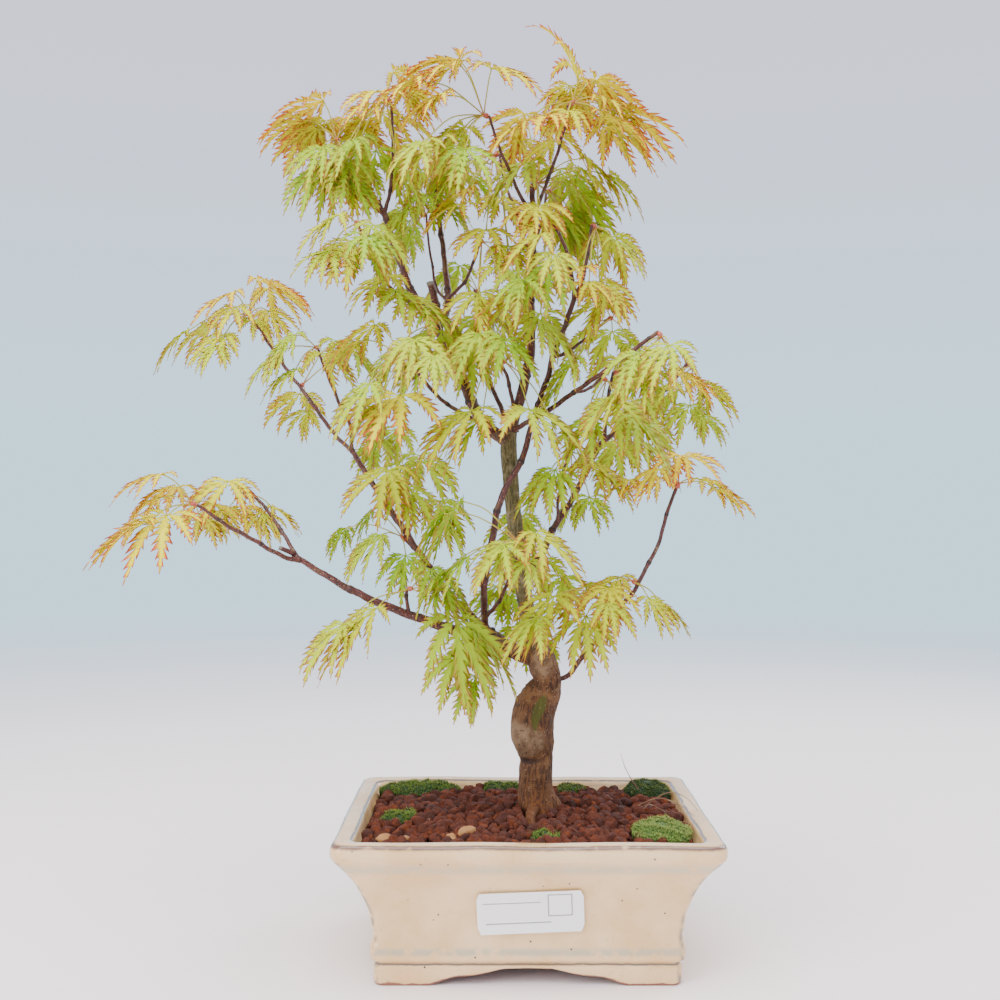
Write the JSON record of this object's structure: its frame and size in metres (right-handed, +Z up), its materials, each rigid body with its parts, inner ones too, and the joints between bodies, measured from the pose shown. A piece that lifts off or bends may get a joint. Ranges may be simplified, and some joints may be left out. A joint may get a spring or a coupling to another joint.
{
  "type": "potted bonsai maple",
  "caption": "Laceleaf maple bonsai with a leaning forked trunk and drooping cut leaves, in a cream glazed rectangular footed pot with clay grains and moss",
  "frame": {"origin": "centre of the bounding box's underside, on the surface the pot stands on; the pot itself stands 44 mm to +X of it because the crown reaches out to -X", "axes": "+Z is up the trunk; -Y is the pot's front, the long side with the label; +X is to the right seen from the front, and the low branch reaches to -X"},
  "size_m": [0.3396, 0.1948, 0.4837],
  "materials": {
    "pot_glaze": "cream gloss glaze, darker where it breaks over edges",
    "label_paper": "plain white sticker, satin",
    "drain_mesh_plastic": "moulded mesh, matte",
    "soil_grains": "fired clay grains, dull",
    "moss_green": "living moss, fuzzy",
    "moss_dark": "living moss, fuzzy",
    "moss_pale": "living moss, frosted tips",
    "pebble_stone": "smooth tan pebble, dull",
    "bark_chip_wood": "broken bark, rough",
    "maple_bark": "living bark, ridged below and smooth above",
    "leaf_young": "thin living leaf, satin",
    "leaf_mid": "thin living leaf, satin",
    "leaf_green": "thin living leaf, satin"
  },
  "bodies": {
    "root": {"pot": "pot_glaze", "blank_label": "label_paper", "drain_mesh_left": "drain_mesh_plastic", "drain_mesh_right": "drain_mesh_plastic", "soil": "soil_grains", "moss_back_left": "moss_green", "moss_back_centre": "moss_green", "moss_behind_trunk": "moss_green", "moss_back_right": "moss_dark", "moss_front_right": "moss_pale", "moss_left": "moss_green", "moss_front": "moss_green", "pebble_left_front": "pebble_stone", "pebble_left_middle": "pebble_stone", "pebble_centre_small": "pebble_stone", "pebble_centre_large": "pebble_stone", "bark_chip": "bark_chip_wood", "trunk_and_branches": "maple_bark", "leaf_spray_01": "leaf_young", "leaf_spray_02": "leaf_young", "leaf_spray_03": "leaf_young", "leaf_spray_04": "leaf_young", "leaf_spray_05": "leaf_mid", "leaf_spray_06": "leaf_mid", "leaf_spray_07": "leaf_mid", "leaf_spray_08": "leaf_green", "leaf_spray_09": "leaf_green", "leaf_spray_10": "leaf_mid", "leaf_spray_11": "leaf_mid", "leaf_spray_12": "leaf_mid", "leaf_spray_13": "leaf_green", "leaf_spray_14": "leaf_green", "leaf_spray_15": "leaf_green", "leaf_spray_16": "leaf_mid", "leaf_spray_17": "leaf_mid", "leaf_spray_18": "leaf_mid", "leaf_spray_19": "leaf_mid", "leaf_spray_20": "leaf_green", "leaf_spray_21": "leaf_green", "leaf_spray_22": "leaf_mid", "leaf_spray_23": "leaf_mid", "leaf_spray_24": "leaf_mid", "leaf_spray_25": "leaf_mid", "leaf_spray_26": "leaf_young", "leaf_spray_27": "leaf_young", "leaf_spray_28": "leaf_mid", "leaf_spray_29": "leaf_mid", "leaf_spray_30": "leaf_young", "leaf_spray_31": "leaf_mid", "leaf_spray_32": "leaf_green", "leaf_spray_33": "leaf_green", "leaf_spray_34": "leaf_green", "leaf_spray_35": "leaf_green", "leaf_spray_36": "leaf_green", "leaf_spray_37": "leaf_green", "leaf_spray_38": "leaf_green", "leaf_spray_39": "leaf_green", "leaf_spray_40": "leaf_green"}
  },
  "joints": []
}
